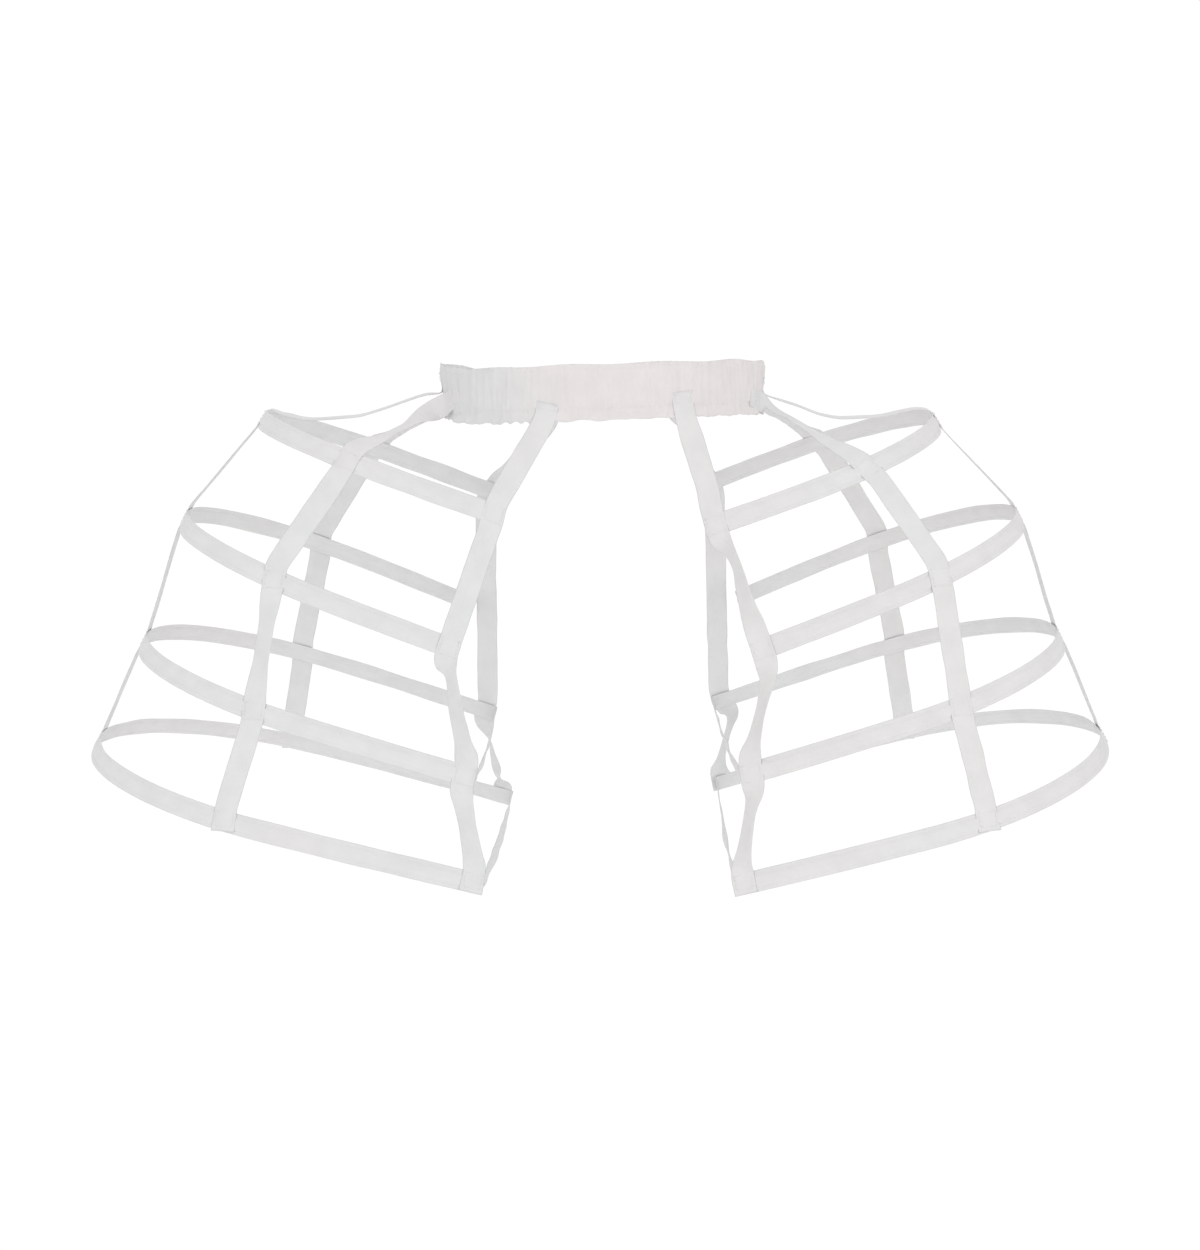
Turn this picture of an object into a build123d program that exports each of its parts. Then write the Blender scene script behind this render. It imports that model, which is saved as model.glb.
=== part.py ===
"""Side-hoop crinoline cage: an elastic waistband that carries a tiered cage of boned tape hoops on each hip."""

import os
from math import asin, atan2, cos, pi, radians, sin, tan

from build123d import *

# Waistband, in millimetres: the ring it is worn as, then its cloth
waist_width = 253.0
waist_depth = 190.0
band_top = 21.0
band_seam = 13.0
band_bottom = 21.5
band_wall = 3.6
frill_wall = 1.6
frill_spread = 0.8
waist_roll = 2.0
waist_pitch = 2.9

# Gathers of the waistband cloth, in the order they follow each other round the waist
gather_count = 42
gather_rise = 1.0
frill_rise = 2.2
gather_width_shares = (1.0, 0.7, 1.2, 0.85, 1.35, 0.75, 1.15)
gather_rise_shares = (1.0, 0.45, 0.8, 0.55, 0.9, 0.35, 0.7, 0.6)
gather_crest_share = 0.42

# Elastic inside the waistband
elastic_width = 25.0
elastic_thickness = 1.2

# Cotton tape of the hoop casings and of the hanging tapes
casing_width = 16.5
tape_width = 17.5
tape_thickness = 0.9
casing_thickness = 2.4
closing_thickness = 1.2
sewn_gap = 0.3
sewn_margin = 2.0

# Boning strip inside the round part of a hoop casing
bone_width = 6.0
bone_thickness = 1.0
bone_setback = 16.0
sleeve_clearance = 0.25

# Cage: half the width over both cages, waist to lowest hoop, and half its depth front to back
half_span = 412.0
cage_drop = 363.0
half_depth = 155.0

# Hoops from the top one down, the angles in degrees
depth_shares = (0.70, 0.82, 0.91, 1.0)
run_flares = (27.0, 27.0, 28.0, 28.0)
end_flares = (10.0, 6.0, 10.0, 16.0)
round_share = 1.05
inner_shares = {"left": (0.214, 0.286, 0.231, 0.209), "right": (0.216, 0.291, 0.243, 0.245)}
reach_shares = {"left": (0.47, 0.565, 0.697, 0.81), "right": (0.454, 0.556, 0.68, 0.76)}
drop_shares = {"left": (0.242, 0.51, 0.785, 1.0), "right": (0.242, 0.507, 0.769, 0.983)}
tilts = {"left": (20.3, 21.4, 17.6, 14.1), "right": (20.7, 22.0, 17.7, 15.2)}
pitches = {"left": (1.6, 0.0, 0.3, -0.1), "right": (-2.8, -1.3, -1.4, -2.1)}
yaws = {"left": (-0.6, 1.8, 0.6, 2.1), "right": (-1.9, 1.5, 1.2, -0.5)}

# Hanging tapes: where each is sewn on the waistband, and where it crosses the hoops along their reach
tapes = ("front_inner", "front_outer", "side", "back_outer", "back_inner")
waist_angles = {"left": (21.0, 68.0, 90.0, 68.0, 21.0), "right": (29.0, 68.0, 90.0, 68.0, 29.0)}
sewn_top = 4.0
side_sewn_tops = {"left": -7.0, "right": 3.5}
corner_shares = {
    "left": {"front_inner": (0.05, -0.3, 0.5, 0.4), "back_inner": (0.5, 0.5, 0.5, 0.5)},
    "right": {"front_inner": (-0.15, -0.25, 0.2, 0.1), "back_inner": (0.5, 0.5, 0.2, 0.25)},
}
front_outer_shares = {"left": (0.60, 0.58, 0.605, 0.595), "right": (0.655, 0.61, 0.617, 0.617)}
back_outer_shares = {"left": (0.60, 0.60, 0.61, 0.60), "right": (0.58, 0.565, 0.59, 0.545)}

# Slack of the side tape between waistband and top hoop: along its run, and below the straight line
slack_drop = 13.5
slack_shares = {
    "left": ((0.1, -0.27), (0.2, -0.1), (0.34, 0.55), (0.48, 0.95), (0.76, 0.75), (0.9, 0.36)),
    "right": ((0.13, 0.29), (0.22, 0.49), (0.34, 0.88), (0.46, 1.0), (0.7, 0.67), (0.91, 0.0)),
}

# Turns of a tape about its own length between two hoops: upper hoop, place along the span, degrees
turn_shares = {
    "left": {
        "front_inner": ((2, 0.5, 50.0),),
        "back_inner": ((3, 0.15, 40.0), (3, 0.35, 90.0), (3, 0.6, 140.0)),
    },
    "right": {
        "front_inner": ((2, 0.55, 45.0),),
        "back_inner": ((3, 0.1, 35.0), (3, 0.25, 75.0), (3, 0.75, 75.0), (3, 0.9, 35.0)),
    },
}

side_signs = {"left": -1, "right": 1}
tiers = (1, 2, 3, 4)
free_crossings = {"back_inner": (2,)}

waist_plane = Plane.XY.rotated((-waist_pitch, -waist_roll, 0))


def hoop_plane(side, tier):
    """The plane of a hoop: local X runs from the middle of its closing stretch to its outer end."""
    sign = side_signs[side]
    tilt = radians(tilts[side][tier - 1])
    origin = (sign * half_span * inner_shares[side][tier - 1], 0, -cage_drop * drop_shares[side][tier - 1])
    level = Plane(origin, x_dir=(sign * cos(tilt), 0, sin(tilt)), z_dir=(-sign * sin(tilt), 0, cos(tilt)))
    return Plane(level.location * Rotation(-sign * pitches[side][tier - 1], 0, sign * yaws[side][tier - 1]))


def hoop_size(side, tier):
    """Reach, half depth at the closing stretch, radius of the round end and its centre along the reach."""
    reach = half_span * reach_shares[side][tier - 1]
    depth = half_depth * depth_shares[tier - 1]
    radius = depth * round_share
    return reach, depth, radius, reach - radius


def run_width(side, tier, along):
    """Distance of a hoop's run from its axis, and the run's slope, at a place along the reach."""
    reach, depth, radius, centre = hoop_size(side, tier)
    fall = (radius - depth) / centre**2
    return radius - fall * (centre - along) ** 2, 2 * fall * (centre - along)


def flare(angles, tier, level):
    """How far a hoop's wall stands out at a level above its middle."""
    return -level * tan(radians(angles[tier - 1]))


def casing_half(tier):
    """Half the height of a hoop casing across its plane, where its runs flare."""
    return casing_width / 2 * cos(radians(run_flares[tier - 1]))


def d_outline(side, tier, level, run_growth, closing_growth):
    """The closed outline of a hoop at a level above its middle, grown outwards from its centre line."""
    reach, depth, radius, centre = hoop_size(side, tier)
    centre += flare(end_flares, tier, level) - flare(run_flares, tier, level)
    wide = radius + flare(run_flares, tier, level) + run_growth
    corner = depth + flare(run_flares, tier, level) + run_growth
    with BuildLine() as outline:
        ThreePointArc((centre, wide), (centre + wide, 0), (centre, -wide))
        TangentArc((centre, wide), (-closing_growth, corner), tangent=(-1, 0))
        TangentArc((centre, -wide), (-closing_growth, -corner), tangent=(-1, 0))
        Line((-closing_growth, corner), (-closing_growth, -corner))
    make_face(outline.edges())


def u_outline(side, tier, level, start, growth_each_way):
    """The outline of a strip that follows the runs and the round end, and leaves the closing stretch free."""
    reach, depth, radius, centre = hoop_size(side, tier)
    width = run_width(side, tier, start)[0] + flare(run_flares, tier, level)
    centre += flare(end_flares, tier, level) - flare(run_flares, tier, level)
    radius += flare(run_flares, tier, level)
    with BuildLine() as outline:
        for growth in (-growth_each_way, growth_each_way):
            wide = radius + growth
            ThreePointArc((centre, wide), (centre + wide, 0), (centre, -wide))
            TangentArc((centre, wide), (start, width + growth), tangent=(-1, 0))
            TangentArc((centre, -wide), (start, -width - growth), tangent=(-1, 0))
        for run in (width, -width):
            Line((start, run - growth_each_way), (start, run + growth_each_way))
    make_face(outline.edges())


def hoop_casing(side, tier):
    """A flat sleeve of tape closed to a D, with a channel for the bone in its round part."""
    plane = hoop_plane(side, tier)
    half_width = casing_half(tier)
    half_channel = bone_width / 2 + sleeve_clearance
    half_gap = bone_thickness / 2 + sleeve_clearance
    with BuildPart() as casing:
        for level in (-half_width, half_width):
            with BuildSketch(plane.offset(level)):
                d_outline(side, tier, level, casing_thickness / 2, closing_thickness / 2)
        loft(ruled=True)
        for level in (-half_width, half_width):
            with BuildSketch(plane.offset(level)):
                d_outline(side, tier, level, -casing_thickness / 2, -closing_thickness / 2)
        loft(ruled=True, mode=Mode.SUBTRACT)
        for level in (-half_channel, half_channel):
            with BuildSketch(plane.offset(level)):
                u_outline(side, tier, level, bone_setback - sleeve_clearance, half_gap)
        loft(ruled=True, mode=Mode.SUBTRACT)
    return casing.part


def hoop_bone(side, tier):
    """The flat boning strip that keeps a hoop round."""
    plane = hoop_plane(side, tier)
    with BuildPart() as bone:
        for level in (-bone_width / 2, bone_width / 2):
            with BuildSketch(plane.offset(level)):
                u_outline(side, tier, level, bone_setback, bone_thickness / 2)
        loft(ruled=True)
    return bone.part


def waist_ring(angle, growth):
    """A point of the waist ellipse, grown outwards, at an angle in radians from the front middle."""
    half_width = waist_width / 2
    half_front = waist_depth / 2
    normal = Vector(sin(angle) / half_width, -cos(angle) / half_front).normalized()
    return Vector(half_width * sin(angle), -half_front * cos(angle)) + normal * growth


def gathered_outline(growth, rise):
    """The gathered outline of the waistband: uneven creases that stand out from the waist ellipse."""
    widths = [gather_width_shares[i % len(gather_width_shares)] for i in range(gather_count)]
    step = 2 * pi / sum(widths)
    points = []
    angle = 0
    for i, width in enumerate(widths):
        height = rise * gather_rise_shares[i % len(gather_rise_shares)]
        points.append(waist_ring(angle, growth))
        points.append(waist_ring(angle + gather_crest_share * width * step, growth + height))
        angle += width * step
    with BuildLine() as outline:
        Polyline(*points, close=True)
    make_face(outline.edges())


def waistband():
    """The gathered cloth casing with its frill below the seam, and the channel of the elastic."""
    levels = ((-band_bottom, frill_spread, frill_rise), (-band_seam, 0, gather_rise / 2), (band_top, 0, gather_rise))
    walls = (frill_wall, band_wall, band_wall)
    middle = (band_top - band_seam) / 2
    half_channel = elastic_width / 2 + sleeve_clearance
    half_gap = elastic_thickness / 2 + sleeve_clearance
    with BuildPart() as band:
        for level, spread, rise in levels:
            with BuildSketch(waist_plane.offset(level)):
                gathered_outline(band_wall / 2 + spread, rise)
        loft(ruled=True)
        for (level, spread, rise), wall in zip(levels, walls):
            with BuildSketch(waist_plane.offset(level)):
                gathered_outline(band_wall / 2 + spread - wall, rise)
        loft(ruled=True, mode=Mode.SUBTRACT)
        with BuildSketch(waist_plane.offset(middle)):
            Ellipse(waist_width / 2 + half_gap, waist_depth / 2 + half_gap)
            Ellipse(waist_width / 2 - half_gap, waist_depth / 2 - half_gap, mode=Mode.SUBTRACT)
        extrude(amount=half_channel, both=True, mode=Mode.SUBTRACT)
    return band.part


def waist_elastic():
    """The elastic band inside the waistband."""
    half_gauge = elastic_thickness / 2
    with BuildPart() as elastic:
        with BuildSketch(waist_plane.offset((band_top - band_seam) / 2)):
            Ellipse(waist_width / 2 + half_gauge, waist_depth / 2 + half_gauge)
            Ellipse(waist_width / 2 - half_gauge, waist_depth / 2 - half_gauge, mode=Mode.SUBTRACT)
        extrude(amount=elastic_width / 2, both=True)
    return elastic.part


def band_stations(side, tape):
    """Places of a tape on the waistband: its sewn upper end, and where it leaves the lower edge."""
    sign = side_signs[side]
    turned = radians(waist_angles[side][tapes.index(tape)])
    angle = sign * (pi - turned if tape.startswith("back") else turned)
    stand_off = band_wall / 2 + gather_rise + sewn_gap + tape_thickness / 2
    leave_off = stand_off + frill_spread + frill_rise - gather_rise
    step = pi / gather_count
    around = waist_ring(angle + step, 0) - waist_ring(angle - step, 0)
    ahead = -sign if tape.startswith("back") else sign
    width = waist_plane.from_local_coords(around * ahead) - waist_plane.origin
    top = side_sewn_tops[side] if tape == "side" else sewn_top
    points = []
    for level, growth in ((-top, stand_off), (-band_bottom, leave_off)):
        spot = waist_ring(angle, growth)
        points.append(waist_plane.from_local_coords((spot.X, spot.Y, level)))
    return [(point, width, points[1] - points[0]) for point in points]


def crossing_place(side, tier, tape):
    """Where a tape crosses a hoop in the hoop's plane: the point, the tangent and the outward normal."""
    reach, depth, radius, centre = hoop_size(side, tier)
    sign = -side_signs[side] if tape.startswith("front") else side_signs[side]
    if tape == "side":
        return (reach, 0), (0, side_signs[side]), (1, 0)
    if tape.endswith("inner"):
        along = tape_width * corner_shares[side][tape][tier - 1]
    else:
        shares = front_outer_shares if tape.startswith("front") else back_outer_shares
        along = reach * shares[side][tier - 1]
    if along < centre:
        width, slope = run_width(side, tier, along)
        turn = -atan2(slope, 1)
        return (along, sign * width), (cos(turn), -sign * sin(turn)), (sin(turn), sign * cos(turn))
    turn = asin((along - centre) / radius)
    return (along, sign * radius * cos(turn)), (cos(turn), -sign * sin(turn)), (sin(turn), sign * cos(turn))


def hoop_stations(side, tier, tape):
    """Places of a tape flat on a hoop's outer face, just above and just below the hoop's edges."""
    plane = hoop_plane(side, tier)
    (along, across), tangent, normal = crossing_place(side, tier, tape)
    width = plane.x_dir * tangent[0] + plane.y_dir * tangent[1]
    past_run = along > hoop_size(side, tier)[-1]
    stand_off = casing_thickness / 2 + sewn_gap + tape_thickness / 2
    upper_edge = casing_half(tier) + sewn_margin
    lower_edge = casing_half(tier) if tier == tiers[-1] else upper_edge
    points = []
    for level in (upper_edge, -lower_edge):
        out = stand_off + flare(run_flares, tier, level)
        forward = flare(end_flares, tier, level) - flare(run_flares, tier, level) if past_run else 0
        points.append(plane.from_local_coords((along + forward + normal[0] * out, across + normal[1] * out, level)))
    return [(point, width, points[1] - points[0]) for point in points]


def slack_stations(side, start, end):
    """Places of the side tape where it sags between the waistband and the top hoop."""
    places = []
    for along, below in slack_shares[side]:
        point = start + (end - start) * along - Vector(0, 0, slack_drop * below)
        places.append((point, Vector(0, 1, 0), end - start))
    return places


def turned_stations(start, end, span_turns):
    """Places of a tape between two hoops where it has turned about its own length."""
    upper, width, _ = start
    run = end[0] - upper
    about = Axis((0, 0, 0), run)
    return [(upper + run * along, width.rotate(about, turn), run) for _, along, turn in span_turns]


def tape_section(stations, index):
    """The plane across a tape at a station: it halves the bend between the stretches that meet there."""
    points = [point for point, _, _ in stations]
    stretches = [(b - a).normalized() for a, b in zip(points, points[1:])]
    run = stretches[max(index - 1, 0)] + stretches[min(index, len(stretches) - 1)]
    point, width, flat_run = stations[index]
    return Plane(point, x_dir=run.cross(width.cross(flat_run)), z_dir=run)


def hanging_tape(side, tape):
    """A flat tape from the waistband over the outer faces of the hoops down to the lowest one."""
    stations = band_stations(side, tape)
    if tape == "side":
        top_hoop = hoop_stations(side, tiers[0], tape)[0][0]
        stations = stations[:1] + slack_stations(side, stations[0][0], top_hoop)
    for tier in tiers:
        if tier in free_crossings.get(tape, ()):
            continue
        crossing = hoop_stations(side, tier, tape)
        span_turns = [turn for turn in turn_shares[side].get(tape, ()) if turn[0] == tier - 1]
        stations += turned_stations(stations[-1], crossing[0], span_turns)
        stations += crossing
    with BuildPart() as strip:
        for index in range(len(stations)):
            with BuildSketch(tape_section(stations, index)):
                Rectangle(tape_width, tape_thickness)
        loft(ruled=True)
    return strip.part


def save(part, name):
    part.label = name
    export_step(part, f"parts/{name}.step")


os.makedirs("parts", exist_ok=True)
save(waistband(), "waistband")
save(waist_elastic(), "waist_elastic")
for side in side_signs:
    for tier in tiers:
        save(hoop_casing(side, tier), f"{side}_hoop_{tier}_casing")
        save(hoop_bone(side, tier), f"{side}_hoop_{tier}_bone")
    for tape in tapes:
        save(hanging_tape(side, tape), f"{side}_{tape}_tape")
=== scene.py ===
"""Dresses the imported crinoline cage: gathered waistband, boned hoop casings, hanging tapes and thread."""

from math import asin, atan2, cos, pi, radians, sin, tan

import bpy
import numpy as np
from bpy.props import FloatProperty, FloatVectorProperty, PointerProperty
from mathutils import Matrix, Vector


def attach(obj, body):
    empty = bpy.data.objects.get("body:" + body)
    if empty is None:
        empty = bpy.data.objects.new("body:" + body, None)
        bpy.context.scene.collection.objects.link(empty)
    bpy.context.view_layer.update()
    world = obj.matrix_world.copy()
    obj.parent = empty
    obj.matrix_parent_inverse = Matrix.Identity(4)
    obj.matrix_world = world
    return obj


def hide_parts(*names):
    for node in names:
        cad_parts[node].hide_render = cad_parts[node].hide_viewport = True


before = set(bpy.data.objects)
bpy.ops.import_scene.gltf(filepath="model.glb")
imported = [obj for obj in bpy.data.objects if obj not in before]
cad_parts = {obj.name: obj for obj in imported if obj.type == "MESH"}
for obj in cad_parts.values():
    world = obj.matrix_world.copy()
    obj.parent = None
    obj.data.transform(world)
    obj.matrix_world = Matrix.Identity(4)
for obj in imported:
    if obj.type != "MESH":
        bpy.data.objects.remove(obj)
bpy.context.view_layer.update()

bl_info = {
    "name": "Crinoline cage",
    "version": (1, 0, 0),
    "blender": (4, 5, 0),
    "location": "View3D > Sidebar > Cage",
    "description": "Builds the cloth, tapes and thread of a side-hoop crinoline cage",
    "category": "Add Mesh",
}

# Hoops from the top one down, as the solids have them; angles in degrees
SIDES = {"left": -1, "right": 1}
TIERS = (1, 2, 3, 4)
DEPTH_SHARES = (0.70, 0.82, 0.91, 1.0)
RUN_FLARES = (27.0, 27.0, 28.0, 28.0)
END_FLARES = (10.0, 6.0, 10.0, 16.0)
ROUND_SHARE = 1.05
INNER_SHARES = {"left": (0.214, 0.286, 0.231, 0.209), "right": (0.216, 0.291, 0.243, 0.245)}
REACH_SHARES = {"left": (0.47, 0.565, 0.697, 0.81), "right": (0.454, 0.556, 0.68, 0.76)}
DROP_SHARES = {"left": (0.242, 0.51, 0.785, 1.0), "right": (0.242, 0.507, 0.769, 0.983)}
TILTS = {"left": (20.3, 21.4, 17.6, 14.1), "right": (20.7, 22.0, 17.7, 15.2)}
PITCHES = {"left": (1.6, 0.0, 0.3, -0.1), "right": (-2.8, -1.3, -1.4, -2.1)}
YAWS = {"left": (-0.6, 1.8, 0.6, 2.1), "right": (-1.9, 1.5, 1.2, -0.5)}

# Where hanging tapes cross the hoops: inner ones in tape widths, outer ones in shares of the reach
TAPES = ("front_inner", "front_outer", "side", "back_outer", "back_inner")
CORNER_SHARES = {
    "left": {"front_inner": (-0.2, -0.3, 0.5, 0.4), "back_inner": (0.4, 0.5, 0.5, 0.5)},
    "right": {"front_inner": (-0.15, -0.25, 0.4, 0.3), "back_inner": (0.1, 0.5, 0.4, 0.25)},
}
OUTER_SHARES = {
    "left": {"front_outer": (0.60, 0.58, 0.605, 0.595), "back_outer": (0.585, 0.59, 0.61, 0.60)},
    "right": {"front_outer": (0.655, 0.61, 0.617, 0.617), "back_outer": (0.555, 0.565, 0.59, 0.545)},
}
# Hoops that a tape hangs past without being sewn on
FREE_CROSSINGS = {"back_inner": (2,)}
# Sag of the side tape above the top hoop: shares of the way from the band and of the slack drop
SLACK_SHARES = {
    "left": ((0.1, -0.1), (0.2, 0.17), (0.34, 0.58), (0.48, 0.92), (0.76, 0.91), (0.9, 0.55)),
    "right": ((0.13, 0.29), (0.22, 0.49), (0.34, 0.88), (0.46, 1.0), (0.7, 0.67), (0.91, 0.0)),
}
# Turns of a tape below a hoop, or below the band at 0: share of the way down, degrees, shift in metres
TURN_SHARES = {
    "left": {
        "front_inner": (
            (2, 0.14, 70, -0.003), (2, 0.5, 58, 0), (2, 0.82, 46, 0),
            (3, 0.15, 34, 0), (3, 0.5, 44, 0), (3, 0.85, 34, 0),
        ),
        "front_outer": (
            (0, 0.3, 60, -0.0015), (0, 0.6, 60, -0.0015), (0, 0.85, 30, 0),
            (1, 0.3, -14, -0.0005), (1, 0.7, -14, 0), (2, 0.3, 26, 0), (2, 0.7, 26, 0),
        ),
        "back_outer": ((0, 0.5, 0, 0), (0, 0.8, 10, 0)),
        "back_inner": (
            (0, 0.3, 60, 0), (0, 0.6, 75, 0), (0, 0.88, 70, 0),
            (3, 0.2, 50, 0), (3, 0.38, 90, 0), (3, 0.6, 96, 0.002), (3, 0.82, 98, 0.001),
        ),
    },
    "right": {
        "front_inner": (
            (0, 0.4, 28, 0.001), (0, 0.75, 40, 0.002),
            (1, 0.14, 50, 0.004), (1, 0.3, 56, 0.005), (1, 0.7, 34, 0.001),
            (2, 0.2, 48, 0.004), (2, 0.55, 60, 0.002), (2, 0.85, 46, 0.001),
            (3, 0.12, 46, 0.001), (3, 0.3, 60, 0), (3, 0.7, 54, 0), (3, 0.92, 36, 0),
        ),
        "front_outer": ((0, 0.5, 0, 0), (0, 0.85, 30, 0)),
        "back_outer": ((0, 0.5, 0, 0), (0, 0.8, -10, 0)),
        "back_inner": (
            (0, 0.3, 60, 0), (0, 0.6, 75, 0), (0, 0.88, 70, 0),
            (3, 0.14, 76, 0.006), (3, 0.4, 84, 0.003), (3, 0.7, 82, 0), (3, 0.9, 66, 0),
        ),
    },
}
# Where a tape lies askew on a hoop: shifts of its upper and lower edge along the hoop, in metres
ASKEW = {
    ("left", "front_outer", 1): (-0.006, 0), ("right", "front_outer", 1): (-0.009, 0.002),
    ("left", "back_inner", 1): (-0.006, 0), ("right", "back_inner", 1): (-0.004, 0),
    ("left", "back_outer", 1): (-0.009, 0), ("right", "back_outer", 1): (-0.012, 0),
    ("right", "front_inner", 3): (0.002, 0), ("right", "back_inner", 3): (0, 0.004),
}
# Where a tape is sewn on the waistband and where it leaves it: degrees from the middle, and level
BAND_RUNS = {
    "left": {
        "front_inner": ((19.4, -0.007), (21.0, -0.0215)), "front_outer": ((61.0, 0.002), (74.0, -0.006)),
        "side": ((90.0, 0.0155), (90.0, 0.0005)), "back_outer": ((62.0, -0.002), (74.0, -0.010)),
        "back_inner": ((19.5, -0.006), (21.0, -0.0215)),
    },
    "right": {
        "front_inner": ((28.0, -0.002), (29.0, -0.0215)), "front_outer": ((64.0, -0.006), (76.0, -0.0115)),
        "side": ((90.0, 0.010), (90.0, -0.005)), "back_outer": ((64.0, -0.006), (76.0, -0.0145)),
        "back_inner": ((27.5, -0.006), (29.0, -0.0215)),
    },
}
# How far a tape's middle stands off the band at its upper end, half way and where it leaves
BAND_STANDS = (-0.0002, 0.0003, 0.0006)
SIDE_STANDS = (-0.0002, 0.0002, -0.0012)
# Where an outer tape folds over beside the band: metres outwards, back and up, and its width there
FOLDS = {
    ("left", "front_outer"): ((0.010, 0.002, -0.005), (0.7, 0.0, 0.71)),
    ("left", "back_outer"): ((0.010, -0.002, -0.0025), (0.7, -0.72, 0.02)),
    ("right", "front_outer"): ((0.008, 0.002, -0.0045), (0.615, 0.78, -0.12)),
    ("right", "back_outer"): ((0.008, -0.002, -0.002), (0.7, -0.72, 0.02)),
}

# Places across a cloth strip, as shares of half its width
RIDGE_SHARES = (0.36, 0.6)
STITCH_SHARE = 0.66
RIM_SHARE = 0.86
LINE_WIDTH_SHARE = 0.07
CASING_ACROSS = (0.0, 0.17, 0.32, 0.42, 0.52, 0.6, STITCH_SHARE, 0.74, RIM_SHARE, 0.95, 1.0)
TAPE_ACROSS = (0.0, 0.25, 0.5, 0.72, RIM_SHARE, 0.94, 1.0)


def size_property(name, default, description):
    """A length that a user may change."""
    return FloatProperty(name=name, description=description, default=default, unit="LENGTH")


def tilt_property(name, default, description):
    """An angle that a user may change."""
    return FloatProperty(name=name, description=description, default=default, subtype="ANGLE")


def colour_property(name, default, description):
    """A colour that a user may change."""
    return FloatVectorProperty(name=name, description=description, size=3, default=default, subtype="COLOR")


class CageShape(bpy.types.PropertyGroup):
    """Sizes of the hoops and tapes."""

    half_span: size_property("Half span", 0.412, "Middle to the widest hoop's end")
    cage_drop: size_property("Cage drop", 0.363, "Waist to the lowest hoop")
    half_depth: size_property("Half depth", 0.155, "Half the depth front to back")
    casing_width: size_property("Casing width", 0.0165, "Width of a hoop casing")
    casing_edge: size_property("Casing edge", 0.00042, "Half the thickness of the doubled tape")
    bone_ridge: size_property("Bone ridge", 0.00075, "How far the bone lifts each face")
    bone_setback: size_property("Bone setback", 0.0155, "Corner to the end of the bone channel")
    tape_width: size_property("Tape width", 0.0175, "Width of a hanging tape")
    tape_gauge: size_property("Tape gauge", 0.0007, "Thickness of a hanging tape")
    sewn_lift: size_property("Sewn lift", 0.0013, "Casing middle to the middle of a tape sewn on it")
    sewn_margin: size_property("Sewn margin", 0.002, "How far a tape lies flat past a casing's edge")
    slack_drop: size_property("Slack drop", 0.0135, "Sag of the side tape above the top hoop")


class WaistShape(bpy.types.PropertyGroup):
    """Sizes of the waistband and its gathers."""

    width: size_property("Width", 0.253, "Waist ring side to side")
    depth: size_property("Depth", 0.190, "Waist ring front to back")
    top: size_property("Top", 0.021, "Middle to the upper edge")
    seam: size_property("Seam", 0.013, "Middle down to the seam")
    bottom: size_property("Bottom", 0.0215, "Middle down to the frill's edge")
    roll: tilt_property("Roll", radians(2.0), "How far the right side is raised")
    pitch: tilt_property("Pitch", radians(2.9), "How far the back dips")
    crease_pitch: size_property("Crease pitch", 0.0075, "Distance of the gathers")
    crease_depth: size_property("Crease depth", 0.0012, "Depth of the gathers")
    frill_depth: size_property("Frill depth", 0.0022, "Swing of the frill's edge")


class ThreadShape(bpy.types.PropertyGroup):
    """Sizes of the stitches."""

    pitch: size_property("Pitch", 0.0031, "Stitch to stitch")
    length: size_property("Length", 0.0024, "Length of one stitch")
    radius: size_property("Radius", 0.00022, "Radius of the thread")


class CottonLook(bpy.types.PropertyGroup):
    """Colours and weave of the cotton."""

    warm: colour_property("Warm white", (0.762, 0.752, 0.749), "Warmer tint of the cotton")
    cool: colour_property("Cool white", (0.749, 0.751, 0.755), "Cooler tint of the cotton")
    band: colour_property("Waistband", (0.79, 0.752, 0.747), "Warmer tint of the waistband")
    band_cool: colour_property("Cool waistband", (0.728, 0.728, 0.731), "Cooler tint of the waistband")
    thread: colour_property("Thread", (0.82, 0.81, 0.81), "Colour of the thread")
    tape_weave: size_property("Tape weave", 0.0016, "Repeat of the tape's twill")
    band_weave: size_property("Band weave", 0.0009, "Repeat of the band's weave")


# Shared shape helpers


def unit(vectors):
    """Vectors scaled to length one."""
    return vectors / np.linalg.norm(vectors, axis=-1, keepdims=True)


def ease(value, low, high):
    """A smooth rise from 0 at low to 1 at high."""
    share = np.clip((value - low) / (high - low), 0, 1)
    return share * share * (3 - 2 * share)


def rise_and_fall(turned, degrees):
    """A smooth rise between the first two angles and a fall between the last two."""
    rise, full, fall, none = (radians(angle) for angle in degrees)
    return ease(turned, rise, full) * (1 - ease(turned, fall, none))


def bead(off, place):
    """A narrow ridge across a strip, at a share of half its width."""
    return np.exp(-(((off - place) / LINE_WIDTH_SHARE) ** 2))


RIPPLE_COUNT = 5
# Seeds of the waves: steps from piece to piece and from wave to wave
SIDE_SEEDS = {"left": 1, "right": 2}
PIECE_SEED_STEP = 10
WAVE_SEED_STEP = 100


def ripple(along, length, seed, waves):
    """A gentle irregular wave that closes over a length, mostly between -1 and 1."""
    draw = np.random.default_rng(seed)
    counts = draw.integers(waves[0], waves[1], RIPPLE_COUNT)
    phases = draw.uniform(0, 2 * pi, RIPPLE_COUNT)
    total = sum(np.sin(2 * pi * k * along / length + p) for k, p in zip(counts, phases))
    return total / (RIPPLE_COUNT / 2)


def section_loop(places):
    """Shares round a strip's section: over its outer face from edge to edge and back over its inner one."""
    half = np.array(places)
    over = np.concatenate([-half[:0:-1], half])
    shares = np.concatenate([over, over[-2:0:-1]])
    faces = np.concatenate([np.ones(len(over)), -np.ones(len(over) - 2)])
    faces[[0, len(over) - 1]] = 0
    return shares, faces


def linked(name, data):
    """An object of the scene that holds a mesh, a light or a camera."""
    piece = bpy.data.objects.new(name, data)
    bpy.context.scene.collection.objects.link(piece)
    return piece


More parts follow.
